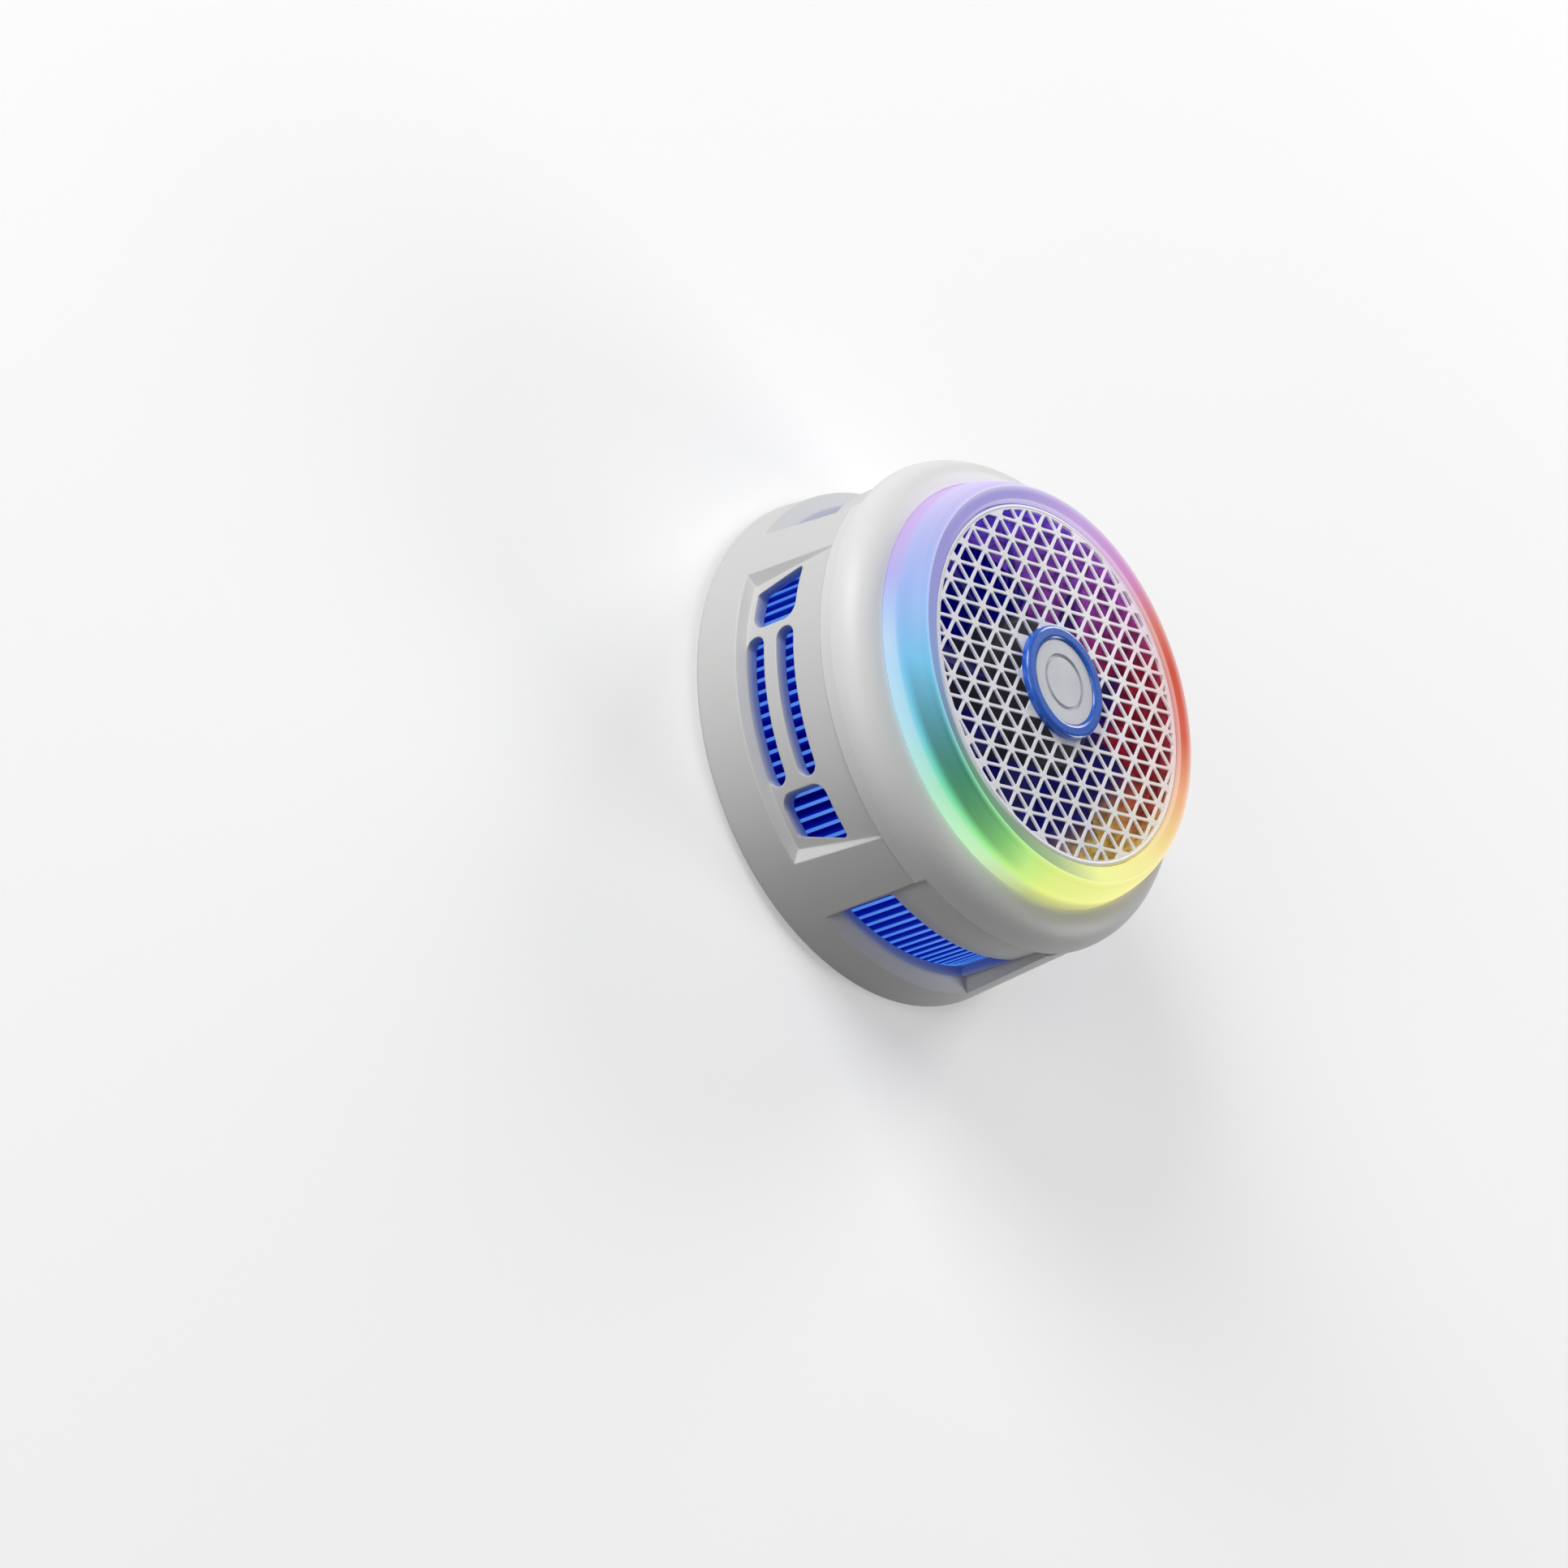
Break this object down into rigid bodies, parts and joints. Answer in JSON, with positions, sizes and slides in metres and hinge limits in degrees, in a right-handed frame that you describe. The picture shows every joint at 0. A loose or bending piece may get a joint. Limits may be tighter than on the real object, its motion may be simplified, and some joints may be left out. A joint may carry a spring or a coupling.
{
  "type": "phone cooling fan",
  "caption": "Round magnetic phone cooler: finned heat sink in a vented light-grey housing, fan behind a triangle-hole grille and a glowing light ring",
  "frame": {"origin": "on the fan's axis in the plane of the cold face, which is the middle of the bounding box's bottom", "axes": "+Z runs along the fan's axis from the cold face out through the front grille, +X points to the power socket, -X to the side window with four holes"},
  "size_m": [0.064, 0.064, 0.0306],
  "materials": {
    "shell_plastic": "fine satin, warm light grey",
    "light_ring": "translucent milky ring lit in rainbow colours from below",
    "grille_plastic": "satin white bars",
    "badge_bezel": "gloss blue",
    "badge_face": "turned satin silver",
    "cover_plastic": "satin",
    "soft_ring": "soft grey silicone",
    "cold_metal": "fine brushed",
    "sink_metal": "bare cut fins",
    "ceramic": "matte white",
    "pellets": "dull grey",
    "wire_jacket": "red silicone jacket",
    "foam": "closed-cell foam",
    "sensor_bead": "epoxy bead",
    "steel_screw": "zinc plated",
    "magnet": "nickel plated",
    "yoke_steel": "stamped steel",
    "frame_plastic": "black",
    "bearing": "sintered bronze",
    "thrust_plastic": "smooth",
    "shaft_steel": "ground",
    "copper": "enamelled copper wire",
    "circuit_board": "solder mask",
    "led": "white package, clear lens",
    "board_parts": "moulded black",
    "socket_steel": "drawn steel",
    "socket_plastic": "black with gold contacts",
    "impeller_plastic": "smoky translucent"
  },
  "bodies": {
    "cooler": {"main_housing": "shell_plastic", "front_shell": "shell_plastic", "light_ring": "light_ring", "grille": "grille_plastic", "badge_bezel": "badge_bezel", "badge_face": "badge_face", "rear_cover": "cover_plastic", "face_pad": "soft_ring", "cold_plate": "cold_metal", "heat_sink": "sink_metal", "peltier_cold_face": "ceramic", "peltier_hot_face": "ceramic", "peltier_pellets": "pellets", "peltier_leads": "wire_jacket", "insulation_foam": "foam", "temperature_sensor": "sensor_bead", "cover_screws": "steel_screw", "heat_sink_screws": "steel_screw", "frame_screws": "steel_screw", "board_screws": "steel_screw", "magnets": "magnet", "magnet_yoke": "yoke_steel", "stator_core": "yoke_steel", "fan_frame": "frame_plastic", "bearing_sleeve": "bearing", "thrust_pad": "thrust_plastic", "stator_coils": "copper", "motor_board": "circuit_board", "light_board": "circuit_board", "control_board": "circuit_board", "leds": "led", "board_parts": "board_parts", "socket_shell": "socket_steel", "socket_tongue": "socket_plastic"},
    "rotor": {"rotor_shaft": "shaft_steel", "rotor_magnet": "magnet", "rotor_cup": "yoke_steel", "fan_impeller": "impeller_plastic"}
  },
  "joints": [
    {"name": "fan_spin", "type": "hinge", "parent": "cooler", "child": "rotor", "pos_m": [0, 0, 0.0206], "axis": [0, 0, 1], "continuous": true}
  ]
}
